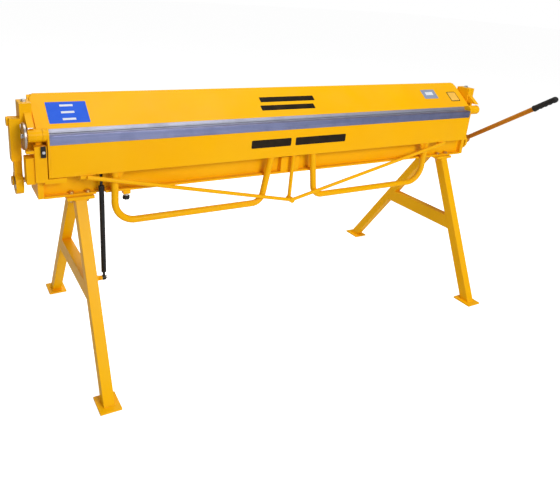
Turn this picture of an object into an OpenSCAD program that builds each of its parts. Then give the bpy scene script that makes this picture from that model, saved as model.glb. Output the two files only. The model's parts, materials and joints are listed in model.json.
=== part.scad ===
// Sheet metal brake: a two metre hand folder on two A-shaped stands.
// Frame: X right along the bending line, Y to the back, Z up, floor at Z = 0.

/* [Overall] */
// Bending length, which is also the length of the three blades
leaf_len = 2050; // [1250:10:2550]
// Height of the bending line above the floor
bend_h = 905; // [800:1:1000]
// Distance from the middle of the machine to the middle of each stand
stand_x = 922; // [500:1:1150]
// Distance from the stand's middle to the middle of a front foot
foot_front = 429; // [350:1:520]
// Distance from the stand's middle to the middle of a rear foot
foot_rear = 430; // [350:1:520]

/* [Stands] */
// Outside width of a leg tube
leg_w = 40; // [30:1:60]
// Outside depth of a leg tube, measured along Y
leg_d = 48; // [36:1:70]
// Wall of the stand tubes
tube_wall = 3; // [2:0.5:5]
// Foot plate width along X
foot_w = 78; // [60:1:120]
// Foot plate length along Y
foot_l = 96; // [70:1:140]
// Foot plate thickness
foot_t = 8; // [5:1:15]
// Stand top plate thickness
top_t = 12; // [8:1:20]
// Stand top plate width along X
top_w = 98; // [80:1:140]
// Brace height above the floor at its underside
brace_z = 324; // [200:1:450]
// Brace tube height
brace_h = 62; // [40:1:90]

/* [Base] */
// Height of the base beam below the bending line
base_drop = 233; // [180:1:300]
// Plate thickness of the base beam
base_t = 8; // [5:1:14]
// Thickness of each base end plate
side_t = 20; // [12:1:30]
// Bed blade depth from front to back
bed_depth = 60; // [40:1:90]
// Blade bar thickness in the bed and in the leaf
bar_t = 24; // [18:1:32]
// Radius of the round bosses at the bending line
boss_r = 22; // [18:0.5:22.5]

/* [Leaf] */
// Leaf depth from its front face to its back
leaf_d = 23; // [20:1:26]
// Distance from the bending line down to the leaf's bottom edge
leaf_drop = 148; // [120:1:180]
// Height of the leaf's steel rail
rail_h = 32; // [24:1:40]
// Leaf sheet thickness
leaf_t = 5; // [3:1:8]
// Leaf hinge pin radius
pin_r = 12; // [9:0.5:14]
// Radius of the bow handle tube
bow_r = 13.5; // [10:0.5:14]
// Middle of the left bow handle
bow_left_x = -478; // [-700:1:-400]
// Middle of the right bow handle
bow_right_x = 435; // [400:1:700]
// Half the length of the left bow handle
bow_half = 321; // [200:1:380]
// Half the length of the right bow handle
bow_right_half = 330; // [200:1:380]
// Distance from the bending line down to the handle bar
bow_drop = 347; // [280:1:400]
// Radius of the truss rod
truss_r = 7.5; // [4:0.5:9]
// Half the length of the truss
truss_half = 885; // [500:5:1000]

/* [Clamping beam] */
// Depth of the sloping panel from its lower to its upper edge
panel_y = 130; // [100:1:160]
// Height of the sloping panel
panel_z = 98; // [80:1:130]
// Sheet thickness of the clamping beam
panel_t = 6; // [4:1:10]
// How far the panel passes each end of the blades
panel_over = 35; // [25:1:50]
// Distance of the clamp blade's nose behind the bending line
nose_back = 12.6; // [12.4:0.1:14]
// Gap kept for the sheet between clamp blade and bed blade
sheet_gap = 1.2; // [0.5:0.1:1.3]
// Throw of the two eccentrics
throw = 9; // [5:0.5:12]
// Radius of the eccentric discs
ecc_r = 22.5; // [21:0.5:25]
// Radius of the clamp cross shaft
shaft_r = 10; // [8:0.5:11]

/* [Clamp lever] */
// Lever length from the shaft to the end of the grip
lever_len = 541; // [400:1:700]
// Lever angle above the horizontal
lever_tilt = 34.5; // [15:0.5:60]
// Lever bar radius
lever_r = 11.5; // [8:0.5:15]
// Grip length
grip_len = 122; // [90:1:160]
// Grip radius
grip_r = 15; // [13:0.5:20]

/* [Gas strut] */
// Sideways position of the gas strut
strut_x = -846; // [-880:1:-820]
// Strut rod radius
rod_r = 5.5; // [3:0.5:6]
// Strut tube radius
strut_r = 9.5; // [7:0.5:12]
// Strut eye radius
eye_r = 10; // [8:0.5:13]

/* [Fits] */
// Running clearance on the radius of turning fits
run_fit = 0.05; // [0.03:0.01:0.09]
// Clearance on the radius of the sliding guide rods
guide_fit = 0.05; // [0.02:0.01:0.05]
// Clearance above and below an eccentric in its window
yoke_fit = 0.4; // [0.3:0.05:0.6]
// Bolt hole clearance on the radius
bolt_fit = 0.5; // [0.2:0.1:0.9]

/* [Hidden] */
$fn = 48;
hl = leaf_len / 2;
blade_half = hl - 1;
bz = bend_h;
by = -114;
base_x = hl + 21;
side_out = base_x + side_t;
base_z = bz - base_drop;
top_z = base_z - top_t;
base_front = -84;
base_back = 10;
flange_front = -108;
strut_notch_y = -93;
link_seat = 9;
flange_back = 34;
front_hole_y = -96;
rear_hole_y = flange_back - 12;
bed_z = bz - 0.5 - bar_t;
leaf_front = by - leaf_d;
leaf_back = by;
leaf_z = bz - leaf_drop;
rail_z = bz - 0.5 - rail_h;
bow_y = leaf_front + bow_r + 0.5;
bow_z = bz - bow_drop;
bow_bend = 80;
bow_bend_in = 50;
bow_lean = 9;
bow_wall = 2.5;
truss_y = bow_y - bow_r - truss_r - 0.4;
truss_mid = -19;
truss_post_r = 8;
saddle_r = 12;
blade_y = by + 19;
blade_z = bz + 15;
top_y = blade_y + panel_y;
top_edge_z = blade_z + panel_z;
panel_x = hl + panel_over;
slope = atan(panel_z / panel_y);
col_in = side_out;
col_out = col_in + 40;
col_y0 = -68;
col_y1 = 6;
col_z0 = bz + 29;
col_z1 = bz + 99;
guide_x = side_out + 20;
guide_y = -31;
guide_r = 10;
guide_z = bz - 55;
shaft_y = -34;
shaft_z = bz - 178;
link_in = col_out;
link_w = 26;
link_w_right = 14;
link_y = -62;
link_split = bz - 99;
link_top = bz + 49;
ecc_in = link_in + 1;
crank_a = 37.5;
yoke_y = shaft_y - throw * (1 + cos(crank_a)) / 2;
yoke_z = shaft_z - throw * sin(crank_a);
yoke_half = ecc_r + throw * (1 - cos(crank_a)) / 2 + 1;
link_end = sqrt(2) * yoke_half + 6;
link_bolt_y = -43;
link_bolt_z = bz + 36;
hub_in = link_in + link_w + 8;
hub_w = 32;
hub_r = 21;
post_in = hl + 10;
post_w = 40;
post_z0 = leaf_z - 14;
post_z1 = bz - 35;
cap_w = 26;
disc_x = side_out + cap_w + 8;
disc_r = 46;
strut_by = -131;
strut_bz = bz - 568;
strut_py = by + 10;
strut_pz = bz - 60;
strut_dy = strut_py - strut_by;
strut_dz = strut_pz - strut_bz;
strut_l = sqrt(strut_dy * strut_dy + strut_dz * strut_dz);
strut_a = atan(strut_dy / strut_dz);
strut_tube_l = 350;
knob_x = -748;
knob_y = -96;
lever_reach = (lever_len - grip_r) * cos(lever_tilt) + grip_r;
mid_x = (hub_in + hub_w + 4 - link_in - link_w - 15) / 2;
mid_y = (foot_rear + foot_l / 2 + shaft_y - lever_reach) / 2;
front_top_y = -96.6;
rear_top_y = -11;

paint = [1, 0.69, 0.02];
steel = [0.55, 0.58, 0.66];
zinc = [0.75, 0.75, 0.74];
bronze = [0.7, 0.5, 0.25];
black = [0.05, 0.05, 0.06];

/* [Show] */
// One node to draw, or all

module box(x0, x1, y0, y1, z0, z1) {
    translate([x0, y0, z0])
        cube([x1 - x0, y1 - y0, z1 - z0]);
}

module xrod(x0, x1, y, z, r) {
    translate([x0, y, z])
        rotate([0, 90, 0])
            cylinder(h = x1 - x0, r = r);
}

module zrod(x, y, z0, z1, r) {
    translate([x, y, z0])
        cylinder(h = z1 - z0, r = r);
}

module hexhead(x, y, z0, z1, r) {
    translate([x, y, z0])
        cylinder(h = z1 - z0, r = r, $fn = 6);
}

// A closed outline in Y and Z, given thickness along X
module yz(x0, x1, points) {
    translate([x0, 0, 0])
        rotate([90, 0, 90])
            linear_extrude(height = x1 - x0)
                polygon(points);
}

// Puts the origin under the middle of the whole machine
module centred() {
    translate([-mid_x, -mid_y, 0])
        children();
}

module both() {
    children();
    mirror([1, 0, 0])
        children();
}

module side(s) {
    if (s < 0)
        mirror([1, 0, 0])
            children();
    else
        children();
}

// Stands

module leg_prism(y0, y1, inset) {
    w = leg_w / 2 - inset;
    d = leg_d / 2 - inset * leg_d / leg_w;
    yz(stand_x - w, stand_x + w,
        [[y0 - d, foot_t], [y0 + d, foot_t], [y1 + d, top_z], [y1 - d, top_z]]);
}

module leg(y0, y1) {
    difference() {
        leg_prism(y0, y1, 0);
        leg_prism(y0, y1, tube_wall);
    }
}

module front_leg() {
    leg(-foot_front, front_top_y);
}

module rear_leg() {
    leg(foot_rear, rear_top_y);
}

function leg_mid(y0, y1, z) = y0 + (y1 - y0) * (z - foot_t) / (top_z - foot_t);

module brace() {
    z0 = brace_z;
    z1 = brace_z + brace_h;
    d = leg_d / 2;
    f0 = leg_mid(-foot_front, front_top_y, z0) + d;
    f1 = leg_mid(-foot_front, front_top_y, z1) + d;
    r0 = leg_mid(foot_rear, rear_top_y, z0) - d;
    r1 = leg_mid(foot_rear, rear_top_y, z1) - d;
    w = leg_w / 2;
    difference() {
        yz(stand_x - w, stand_x + w, [[f0, z0], [r0, z0], [r1, z1], [f1, z1]]);
        box(stand_x - w + tube_wall, stand_x + w - tube_wall, f0 - 100, r0 + 100,
            z0 + tube_wall, z1 - tube_wall);
    }
}

module stand_bolt_places() {
    for (dx = [-29, 29]) {
        translate([stand_x + dx, front_hole_y, 0])
            children();
        translate([stand_x + dx, rear_hole_y, 0])
            children();
    }
}

module top_plate() {
    difference() {
        box(stand_x - top_w / 2, stand_x + top_w / 2, -122, flange_back + 2, top_z, base_z);
        stand_bolt_places()
            zrod(0, 0, top_z - 1, base_z + 1, 5 + bolt_fit);
    }
}

module foot(y) {
    box(stand_x - foot_w / 2, stand_x + foot_w / 2, y - foot_l / 2, y + foot_l / 2, 0, foot_t);
}

module feet() {
    foot(-foot_front);
    foot(foot_rear);
}

module stand_bolts() color(zinc) centred() {
    both()
        stand_bolt_places() {
            zrod(0, 0, top_z - 16, base_z + base_t, 5);
            zrod(0, 0, base_z + base_t, base_z + base_t + 2, 10);
            hexhead(0, 0, base_z + base_t + 2, base_z + base_t + 8.5, 8.8);
            difference() {
                hexhead(0, 0, top_z - 10, top_z, 8.8);
                zrod(0, 0, top_z - 11, top_z + 1, 5);
            }
        }
}

// Base beam

module flange_holes(y) {
    both()
        for (dx = [-29, 29])
            zrod(stand_x + dx, y, base_z - 1, base_z + base_t + 1, 5 + bolt_fit);
}

module base_front_plate() color(paint) centred() {
    difference() {
        yz(-base_x, base_x, [[flange_front, base_z], [base_front + base_t, base_z],
            [base_front + base_t, bed_z - base_t], [base_front, bed_z - base_t],
            [base_front, base_z + base_t], [flange_front, base_z + base_t]]);
        flange_holes(front_hole_y);
        // Notch that the gas strut stands in
        box(strut_x - 17, strut_x + 17, flange_front - 1, strut_notch_y,
            base_z - 1, base_z + base_t + 1);
    }
}

module base_rear_plate() color(paint) centred() {
    difference() {
        yz(-base_x, base_x, [[base_back - base_t, base_z], [flange_back, base_z],
            [flange_back, base_z + base_t], [base_back, base_z + base_t],
            [base_back, bed_z - base_t], [base_back - base_t, bed_z - base_t]]);
        flange_holes(rear_hole_y);
    }
}

module bed_screw_places() {
    for (i = [-4.5:1:4.5])
        translate([i * leaf_len / 10, by + bed_depth / 2 + 10, 0])
            children();
}

module base_top_plate() color(paint) centred() {
    difference() {
        box(-base_x, base_x, base_front, base_back, bed_z - base_t, bed_z);
        bed_screw_places()
            zrod(0, 0, bed_z - base_t - 1, bed_z + 1, 4.5);
    }
}

module base_ribs() color(paint) centred() {
    for (x = [-0.62, -0.21, 0.21, 0.62])
        difference() {
            box(x * leaf_len / 2 - 4, x * leaf_len / 2 + 4, base_front + base_t,
                base_back - base_t, base_z + 30, bed_z - base_t);
            xrod(x * leaf_len / 2 - 5, x * leaf_len / 2 + 5, shaft_y, shaft_z, shaft_r + 6);
        }
}

module base_centre_box() color(paint) centred() {
    difference() {
        box(-66, 26, flange_front + 3, base_front, base_z + base_t, base_z + 72);
        box(-60, 20, flange_front + 9, base_front + 1, base_z + base_t - 1, base_z + 66);
    }
}

module bed_blade() color(steel) centred() {
    difference() {
        yz(-blade_half, blade_half, [[by + 2, bed_z + 8], [by + 8, bed_z], [by + bed_depth, bed_z],
            [by + bed_depth, bz - 0.5], [by + 2, bz - 0.5]]);
        bed_screw_places() {
            zrod(0, 0, bed_z - 1, bz, 4.5);
            zrod(0, 0, bz - 9, bz, 8);
        }
    }
}

module bed_blade_screws() color(zinc) centred() {
    bed_screw_places() {
        zrod(0, 0, bed_z - base_t + 0.5, bz - 9, 4);
        difference() {
            zrod(0, 0, bz - 9, bz - 1.5, 6.5);
            hexhead(0, 0, bz - 6, bz, 3.4);
        }
    }
}

module side_plate() {
    difference() {
        union() {
            yz(base_x, side_out, [[flange_front + 4, base_z], [flange_back, base_z],
                [flange_back, bz - 110], [base_back, bz - 60], [base_back, bz - 7],
                [by + boss_r, bz - 7], [by, bz - 20], [flange_front + 4, bz - 22]]);
            xrod(base_x, side_out, by, bz, boss_r);
        }
        xrod(base_x - 1, side_out + 1, by, bz, pin_r + 4);
        xrod(base_x - 1, side_out + 1, shaft_y, shaft_z, shaft_r + 4);
    }
}

module ring(x0, x1, y, z, r_out, r_in) {
    difference() {
        xrod(x0, x1, y, z, r_out);
        xrod(x0 - 1, x1 + 1, y, z, r_in);
    }
}

module bushes() color(bronze) centred() {
    both() {
        ring(base_x, side_out, by, bz, pin_r + 4, pin_r + run_fit);
        ring(base_x, side_out, shaft_y, shaft_z, shaft_r + 4, shaft_r + run_fit);
    }
}

module hinge_caps() color(paint) centred() {
    both()
        ring(side_out, side_out + cap_w, by, bz, boss_r, pin_r + 0.6);
}

module guide_blocks() color(paint) centred() {
    both()
        difference() {
            box(side_out, side_out + 34, guide_y - 22, guide_y + 22, guide_z - 10, guide_z + 30);
            zrod(guide_x, guide_y, guide_z, guide_z + 31, guide_r);
        }
}

module guide_rods() color(zinc) centred() {
    both()
        zrod(guide_x, guide_y, guide_z, bz + 80, guide_r);
}

module end_post() color(paint) centred() {
    side(-1)
        difference() {
            union() {
                box(post_in, post_in + post_w, leaf_front + 4, flange_front + 4, post_z0, post_z1);
                box(base_x, post_in + post_w, flange_front + 4, base_front, post_z0, post_z1 - 4);
                // Ledge under the hanging leaf
                box(hl - 53, base_x, leaf_front + 4, base_front, leaf_z - 21, leaf_z - 4);
            }
            box(base_x - 0.01, side_out, flange_front + 4, base_front + 1,
                post_z0 - 1, post_z1 + 1);
        }
}

module post_pad() color(black) centred() {
    side(-1)
        box(post_in + 4, post_in + 20, leaf_front - 4, leaf_front + 4, bz - 72, post_z1 + 1);
}

module post_screw() color(zinc) centred() {
    side(-1)
        translate([post_in + 12, leaf_front - 4, bz - 53])
            rotate([90, 0, 0])
                cylinder(h = 4, r = 5.5);
}

module stop_bracket() color(paint) centred() {
    side(-1)
        difference() {
            box(post_in + post_w, link_in - 5, leaf_front + 6, flange_front, bz - 58, bz - 48);
            zrod(disc_x + 2, by - 8, bz - 60, bz - 40, 2);
        }
}

module link_guard() color(paint) centred() {
    side(-1)
        difference() {
            box(post_in + post_w, link_in - 3, leaf_front + 12, -76, post_z0 - 6, bz - 75);
            box(post_in + post_w - 1, link_in - 9, leaf_front + 18, -75, post_z0 - 7, bz - 81);
        }
}

module strut_bracket() color(paint) centred() {
    x0 = -stand_x + leg_w / 2;
    x1 = strut_x - 16;
    union() {
        translate([0, strut_by - 3, 0])
            rotate([90, 0, 0])
                mirror([0, 0, 1])
                    linear_extrude(height = 6)
                        polygon([[x0, strut_bz + 18], [x0, strut_bz - 12],
                            [x1 + 6, strut_bz - 8], [x1 + 6, strut_bz + 8]]);
        xrod(x1, x1 + 8, strut_by, strut_bz, 9);
    }
}

module knob_bracket() color(paint) centred() {
    difference() {
        box(knob_x - 14, knob_x + 14, flange_front, base_front, base_z - 14, base_z);
        zrod(knob_x, knob_y, base_z - 15, base_z + 1, 5 + run_fit);
    }
}

// Bending leaf

module leaf_sheet() color(paint) centred() {
    y0 = leaf_front;
    y1 = leaf_back;
    t = leaf_t;
    gap = 15;
    box(-hl, hl, y0, y0 + t, leaf_z, rail_z);
    box(-hl, hl, y0 + t, y1, rail_z - t, rail_z);
    // Lower flange and lip, open where the gas strut passes
    for (ends = [[-hl, strut_x - gap], [strut_x + gap, hl]]) {
        box(ends[0], ends[1], y0 + t, y1, leaf_z, leaf_z + t);
        box(ends[0], ends[1], y1 - t, y1, leaf_z + t, leaf_z + 24);
    }
}

module leaf_rail() color(steel) centred() {
    yz(-hl, hl, [[leaf_front, rail_z], [leaf_back, rail_z], [leaf_back, bz - 0.5],
        [leaf_front, bz - 0.5]]);
}

module leaf_end_arms() color(paint) centred() {
    both()
        union() {
            yz(hl, hl + 7, [[leaf_front, leaf_z], [leaf_back, leaf_z],
                [leaf_back + 4, bz - 22], [leaf_back, bz], [leaf_front + 2, bz - 2],
                [leaf_front, bz - 20]]);
            xrod(hl, hl + 7, by, bz, boss_r);
        }
}

module hinge_pins() color(paint) centred() {
    both() {
        xrod(hl + 7, base_x - 1, by, bz, boss_r);
        xrod(base_x - 1, disc_x - 1, by, bz, pin_r);
    }
}

module angle_disc() color(zinc) centred() {
    side(-1)
        xrod(disc_x - 1, disc_x + 6, by, bz, disc_r);
}

module disc_bolt() color(zinc) centred() {
    side(-1)
        translate([disc_x + 6, by, bz])
            rotate([0, 90, 0])
                cylinder(h = 6, r = 8, $fn = 6);
}

module arc_bar(x, z, bend, a0, a1, r) {
    translate([x, bow_y, z])
        rotate([90, 0, 0])
            rotate([0, 0, a0])
                rotate_extrude(angle = a1 - a0)
                    translate([bend, 0])
                        circle(r = r);
}

module bar_between(x0, z0, x1, z1, r) {
    len = sqrt((x1 - x0) * (x1 - x0) + (z1 - z0) * (z1 - z0));
    translate([x0, bow_y, z0])
        rotate([0, atan2(x1 - x0, z1 - z0), 0])
            cylinder(h = len, r = r);
}

// The bow's centre line as a solid bar, with its outer leg on the left
module bow_bar(r, half) {
    zc = bow_z + bow_bend;
    zi = bow_z + bow_bend_in;
    ex = half - bow_bend_in + bow_bend_in * cos(bow_lean);
    ez = zi - bow_bend_in * sin(bow_lean);
    rise = leaf_z + 20 - ez;
    bar_between(-half, leaf_z + 20, -half, zc, r);
    arc_bar(bow_bend - half, zc, bow_bend, 180, 270, r);
    bar_between(bow_bend - half, bow_z, half - bow_bend_in, bow_z, r);
    arc_bar(half - bow_bend_in, zi, bow_bend_in, -90, -bow_lean, r);
    // The leaning leg is a hair thinner and starts inside the bend
    bar_between(ex - 1.5 * sin(bow_lean), ez - 1.5 * cos(bow_lean),
        ex + rise * tan(bow_lean), ez + rise, r - 0.15);
}

module bow(half) {
    difference() {
        bow_bar(bow_r, half);
        bow_bar(bow_r - bow_wall, half);
        box(-half - 100, half + 100, bow_y - 50, bow_y + 50, leaf_z, leaf_z + 60);
    }
}

module bow_left() color(paint) centred() {
    translate([bow_left_x, 0, 0])
        bow(bow_half);
}

module bow_right() color(paint) centred() {
    translate([bow_right_x, 0, 0])
        mirror([1, 0, 0])
            bow(bow_right_half);
}

module gusset(x0, x1, w) {
    difference() {
        translate([0, bow_y - 2, 0])
            rotate([90, 0, 0])
                mirror([0, 0, 1])
                    linear_extrude(height = 4)
                        polygon([[x0, leaf_z], [x1, leaf_z], [x0, leaf_z - w]]);
        bow_solid();
    }
}

module bow_solid() {
    for (x = [bow_left_x - bow_half, bow_right_x + bow_right_half])
        zrod(x, bow_y, leaf_z - 120, leaf_z + 1, bow_r + 0.1);
}

module bow_gussets() color(paint) centred() {
    gusset(bow_left_x - bow_half + bow_r, bow_left_x - bow_half + bow_r + 26, 34);
    gusset(bow_right_x + bow_right_half - bow_r, bow_right_x + bow_right_half - bow_r - 26, 34);
}

module truss_leg(s) {
    rise = leaf_z - 6 - bow_z;
    run = truss_half;
    len = sqrt(rise * rise + run * run);
    translate([truss_mid, truss_y, bow_z])
        rotate([0, s * atan2(run, rise), 0])
            cylinder(h = len, r = truss_r);
}

module saddle(grow) {
    translate([truss_mid, bow_y + truss_post_r + grow, bow_z])
        rotate([90, 0, 0])
            cylinder(h = bow_y + truss_post_r - truss_y + truss_r + 1 + 2 * grow, r = saddle_r + grow);
}

module truss_rod() color(paint) centred() {
    difference() {
        union() {
            truss_leg(-1);
            truss_leg(1);
        }
        saddle(0.02);
    }
    saddle(0);
}

module truss_fittings() color(paint) centred() {
    zrod(truss_mid, bow_y, bow_z + saddle_r, leaf_z, truss_post_r);
    for (s = [-1, 1])
        translate([truss_mid + s * truss_half, 0, 0])
            box(-22, 22, truss_y + truss_r, leaf_back - 4, leaf_z - 14, leaf_z);
}

module strut_fork() color(paint) centred() {
    box(strut_x - 16, strut_x + 16, leaf_front + leaf_t, leaf_front + leaf_t + 5,
        strut_pz - 24, strut_pz + 12);
    for (s = [-1, 1])
        difference() {
            translate([strut_x + s * 12.5, 0, 0])
                yz(-2.5, 2.5, [[leaf_front + leaf_t + 5, strut_pz - 24],
                    [strut_py + 9, strut_pz - 9], [strut_py + 9, strut_pz + 9],
                    [leaf_front + leaf_t + 5, strut_pz + 12]]);
            xrod(strut_x - 20, strut_x + 20, strut_py, strut_pz, 4 + bolt_fit / 5);
        }
}

module strut_fork_pin() color(zinc) centred() {
    xrod(strut_x - 18, strut_x + 18, strut_py, strut_pz, 4);
}

// Gas strut

module on_strut() {
    translate([strut_x, strut_by, strut_bz])
        rotate([-strut_a, 0, 0])
            children();
}

module strut_rod() color(zinc) centred() {
    on_strut()
        difference() {
            union() {
                translate([0, 0, strut_tube_l - 150])
                    cylinder(h = strut_l - eye_r - strut_tube_l + 152, r = rod_r);
                translate([-7, 0, strut_l])
                    rotate([0, 90, 0])
                        cylinder(h = 14, r = eye_r);
            }
            translate([-8, 0, strut_l])
                rotate([0, 90, 0])
                    cylinder(h = 16, r = 4 + run_fit);
        }
}

module strut_tube() color(black) centred() {
    on_strut()
        difference() {
            union() {
                translate([0, 0, 24])
                    cylinder(h = strut_tube_l - 24, r = strut_r);
                translate([0, 0, strut_tube_l])
                    cylinder(h = 18, r = strut_r + 1.5);
                translate([0, 0, 4])
                    cylinder(h = 22, r = 5);
                translate([-6, 0, 0])
                    rotate([0, 90, 0])
                        cylinder(h = 12, r = eye_r);
            }
            translate([0, 0, 40])
                cylinder(h = strut_tube_l, r = rod_r + run_fit);
            translate([-7, 0, 0])
                rotate([0, 90, 0])
                    cylinder(h = 14, r = 4 + run_fit);
        }
}

module strut_bolt() color(zinc) centred() {
    xrod(strut_x - 7, strut_x + 12, strut_by, strut_bz, 4);
    difference() {
        translate([strut_x + 6.5, strut_by, strut_bz])
            rotate([0, 90, 0])
                cylinder(h = 6, r = 7.2, $fn = 6);
        xrod(strut_x, strut_x + 14, strut_by, strut_bz, 4);
    }
}

// Clamping beam

module panel_section() {
    n_y = sin(slope) * panel_t;
    n_z = cos(slope) * panel_t;
    rotate([90, 0, 90])
        linear_extrude(height = 2 * panel_x, center = true)
            polygon([[blade_y, blade_z], [blade_y + n_y, blade_z - n_z],
                [top_y + n_y, top_edge_z - n_z], [top_y, top_edge_z]]);
}

module clamp_panel() color(paint) centred() {
    difference() {
        panel_section();
        both()
            translate([panel_x, 0, top_edge_z])
                rotate([0, 45, 0])
                    cube([20, 400, 20], center = true);
    }
}

module clamp_back() color(paint) centred() {
    n_y = sin(slope) * panel_t;
    n_z = cos(slope) * panel_t;
    x = panel_x - 6;
    yz(-x, x, [[top_y + n_y - 0.01, top_edge_z - n_z - 0.02], [top_y + n_y, bz + 36],
        [by + bed_depth, bz + 20], [by + bed_depth, bz + 14], [top_y + n_y + 6, bz + 30],
        [top_y + n_y + 6, top_edge_z - n_z - 0.02]]);
}

module clamp_blade() color(steel) centred() {
    yz(-blade_half, blade_half, [[by + nose_back, bz + sheet_gap], [by + bed_depth, bz + sheet_gap],
        [by + bed_depth, bz + 14], [blade_y + sin(slope) * panel_t, blade_z - cos(slope) * panel_t],
        [blade_y, blade_z], [by + nose_back + 4.8, bz + sheet_gap + 4.8]]);
}

module clamp_ends() color(paint) centred() {
    n_y = sin(slope) * panel_t;
    n_z = cos(slope) * panel_t;
    both()
        yz(panel_x - 6, side_out, [[blade_y + n_y, blade_z - n_z + 0.02],
            [by + bed_depth, bz + 20], [top_y + n_y, bz + 36],
            [top_y + n_y, top_edge_z - n_z - 0.02]]);
}

module column() {
    difference() {
        union() {
            box(col_in, col_out, col_y0, col_y1, col_z0, col_z1);
            yz(col_in + 4, col_in + 26, [[by - 10, col_z0], [col_y0, col_z0],
                [col_y0, col_z1 - 30]]);
        }
        zrod(guide_x, guide_y, col_z0 - 1, bz + 90, guide_r + guide_fit);
        xrod(col_out - link_seat, col_out + 1, link_bolt_y, link_bolt_z, 5);
    }
}

module clamp_columns() color(paint) centred() {
    both()
        column();
}

module link_bar(w) {
    difference() {
        union() {
            box(link_in, link_in + w, link_y, link_y + 38, shaft_z, link_top - 8);
            intersection() {
                xrod(link_in, link_in + w, yoke_y, yoke_z, link_end);
                box(link_in, link_in + w, -200, 200, yoke_z - 60, link_split);
            }
        }
        xrod(link_in - 1, link_in + w + 1, link_bolt_y, link_bolt_z, 6 + bolt_fit);
        yoke(w);
    }
}

// The window lets the eccentric slide front to back and lift the bar
module yoke(w) {
    h = ecc_r + yoke_fit;
    box(link_in - 1, link_in + w + 1, yoke_y - yoke_half, yoke_y + yoke_half,
        yoke_z - h, yoke_z + h);
}

module clamp_link_bars() color(paint) centred() {
    side(-1)
        link_bar(link_w);
    link_bar(link_w_right);
}

module link_channel() color(paint) centred() {
    side(-1)
        difference() {
            box(link_in, link_in + link_w + 8, link_y - 8, link_y + 38, link_split, link_top);
            box(link_in - 1, link_in + link_w, link_y, link_y + 39, link_split - 1, link_top - 8);
            xrod(link_in, link_in + link_w + 9, link_bolt_y, link_bolt_z, 6 + bolt_fit);
        }
}

module link_bolt(head_x) {
    xrod(col_out - link_seat, col_out, link_bolt_y, link_bolt_z, 5);
    xrod(link_in, head_x, link_bolt_y, link_bolt_z, 6);
    xrod(head_x, head_x + 7, link_bolt_y, link_bolt_z, 16);
}

module link_bolts() color(paint) centred() {
    side(-1)
        link_bolt(link_in + link_w + 8);
    link_bolt(link_in + link_w_right);
}

// Clamp lever and cross shaft

module cross_shaft() color(zinc) centred() {
    x0 = -link_in - link_w;
    union() {
        xrod(x0, hub_in + hub_w + 4, shaft_y, shaft_z, shaft_r);
        xrod(x0 - 9, x0, shaft_y, shaft_z, 16);
    }
}

module eccentric(x0, x1) {
    difference() {
        xrod(x0, x1, shaft_y - throw * cos(crank_a), yoke_z, ecc_r);
        xrod(x0 - 1, x1 + 1, shaft_y, shaft_z, shaft_r);
    }
}

module eccentrics() color(zinc) centred() {
    side(-1)
        eccentric(ecc_in, ecc_in + link_w - 2);
    eccentric(ecc_in, ecc_in + link_w_right - 2);
}

module on_lever() {
    translate([hub_in + hub_w / 2, shaft_y, shaft_z])
        rotate([90 - lever_tilt, 0, 0])
            children();
}

module clamp_lever() color(paint) centred() {
    difference() {
        union() {
            xrod(hub_in, hub_in + hub_w, shaft_y, shaft_z, hub_r);
            on_lever()
                cylinder(h = lever_len - 6, r = lever_r);
        }
        xrod(hub_in - 1, hub_in + hub_w + 1, shaft_y, shaft_z, shaft_r);
    }
}

module lever_grip() color(black) centred() {
    on_lever()
        difference() {
            union() {
                translate([0, 0, lever_len - grip_len])
                    cylinder(h = grip_len - grip_r, r = grip_r);
                translate([0, 0, lever_len - grip_r])
                    intersection() {
                        sphere(r = grip_r);
                        cylinder(h = grip_r, r = grip_r);
                    }
            }
            translate([0, 0, lever_len - grip_len - 1])
                cylinder(h = grip_len - 5, r = lever_r);
        }
}

// Small knob

module adjust_knob() color(black) centred() {
    union() {
        zrod(knob_x, knob_y, base_z - 22, base_z - 2, 5);
        zrod(knob_x, knob_y, base_z - 22, base_z - 14.5, 9);
        zrod(knob_x, knob_y, base_z - 38, base_z - 22, 14);
    }
}

// Left and right stand pieces

module stand_left_front_leg() color(paint) centred() {
    side(-1)
        front_leg();
}

module stand_left_rear_leg() color(paint) centred() {
    side(-1)
        rear_leg();
}

module stand_left_brace() color(paint) centred() {
    side(-1)
        brace();
}

module stand_left_top_plate() color(paint) centred() {
    side(-1)
        top_plate();
}

module stand_left_feet() color(paint) centred() {
    side(-1)
        feet();
}

module stand_right_front_leg() color(paint) centred() {
    front_leg();
}

module stand_right_rear_leg() color(paint) centred() {
    rear_leg();
}

module stand_right_brace() color(paint) centred() {
    brace();
}

module stand_right_top_plate() color(paint) centred() {
    top_plate();
}

module stand_right_feet() color(paint) centred() {
    feet();
}

module side_plate_left() color(paint) centred() {
    side(-1)
        side_plate();
}

module side_plate_right() color(paint) centred() {
    side_plate();
}

stand_left_front_leg();
stand_left_rear_leg();
stand_left_brace();
stand_left_top_plate();
stand_left_feet();
stand_right_front_leg();
stand_right_rear_leg();
stand_right_brace();
stand_right_top_plate();
stand_right_feet();
stand_bolts();
base_front_plate();
base_rear_plate();
base_top_plate();
base_ribs();
base_centre_box();
bed_blade();
bed_blade_screws();
side_plate_left();
side_plate_right();
bushes();
hinge_caps();
guide_blocks();
guide_rods();
end_post();
post_pad();
post_screw();
stop_bracket();
link_guard();
strut_bracket();
knob_bracket();
leaf_sheet();
leaf_rail();
leaf_end_arms();
hinge_pins();
angle_disc();
disc_bolt();
bow_left();
bow_right();
bow_gussets();
truss_rod();
truss_fittings();
strut_fork();
strut_fork_pin();
strut_rod();
strut_tube();
strut_bolt();
clamp_panel();
clamp_back();
clamp_blade();
clamp_ends();
clamp_columns();
clamp_link_bars();
link_channel();
link_bolts();
cross_shaft();
eccentrics();
clamp_lever();
lever_grip();
adjust_knob();
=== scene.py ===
"""A hand folding brake for sheet metal: powder coated frame, steel blades, lever and gas strut."""

import json
import math

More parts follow.
